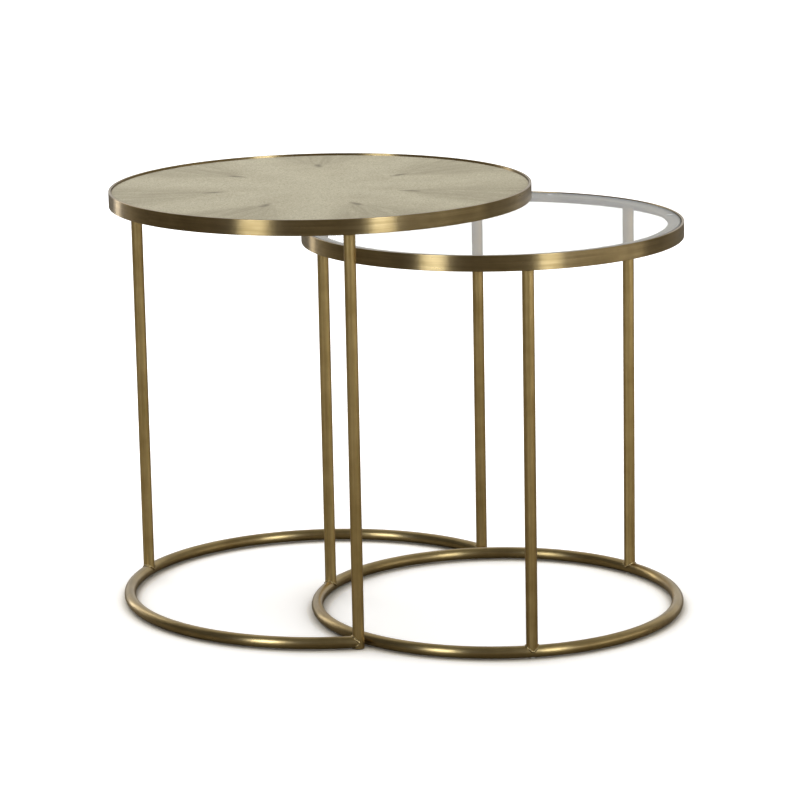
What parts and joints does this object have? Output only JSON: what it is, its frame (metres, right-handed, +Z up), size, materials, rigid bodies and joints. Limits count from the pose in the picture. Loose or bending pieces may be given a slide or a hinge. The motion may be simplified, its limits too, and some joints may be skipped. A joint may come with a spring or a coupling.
{
  "type": "nesting side tables",
  "caption": "Pair of round nesting side tables in brushed antique brass; the lower one has a glass top and slides under the taller one",
  "frame": {"origin": "on the floor, at the middle of the bounding box of the nested pair", "axes": "+Z up; +X is the way the small table pulls out from under the large one; +Y to the left of that"},
  "size_m": [0.6879, 0.5, 0.5],
  "materials": {
    "antique_brass": "antique brass plating on steel, brushed and lacquered, satin",
    "weld": "dressed weld beads under the same antique brass plating",
    "skin": "beige shagreen-grained skin, satin, laid in seven wedges",
    "board": "raw fibreboard",
    "zinc_screw": "zinc plated",
    "steel_plug": "plain steel disc, plated with the frame",
    "floor_pad": "clear matt polyurethane",
    "bumper": "clear polyurethane bumper dot",
    "glass": "clear toughened glass, ground and polished edge"
  },
  "bodies": {
    "large_table": {"large_rim_band": "antique_brass", "large_rim_ledge": "antique_brass", "large_ledge_tacks": "weld", "large_board": "board", "panel_wedge_1": "skin", "panel_wedge_2": "skin", "panel_wedge_3": "skin", "panel_wedge_4": "skin", "panel_wedge_5": "skin", "panel_wedge_6": "skin", "panel_wedge_7": "skin", "board_screws": "zinc_screw", "large_leg_rear": "antique_brass", "large_leg_left": "antique_brass", "large_leg_right": "antique_brass", "large_leg_plugs": "steel_plug", "large_base_ring": "antique_brass", "large_leg_top_welds": "weld", "large_base_welds": "weld", "large_floor_pads": "floor_pad"},
    "small_table": {"small_rim_band": "antique_brass", "small_rim_ledge": "antique_brass", "small_ledge_tacks": "weld", "small_glass_dots": "bumper", "small_leg_rear": "antique_brass", "small_leg_left": "antique_brass", "small_leg_right": "antique_brass", "small_base_ring": "antique_brass", "small_leg_top_welds": "weld", "small_base_welds": "weld", "small_floor_pads": "floor_pad"},
    "glass_top": {"small_glass_top": "glass"}
  },
  "joints": [
    {"name": "small_pull_out", "type": "slide", "parent": "large_table", "child": "small_table", "axis": [1, 0, 0], "range_m": [0, 0.35]},
    {"name": "glass_lift", "type": "slide", "parent": "small_table", "child": "glass_top", "axis": [0, 0, 1], "range_m": [0, 0.012]}
  ]
}
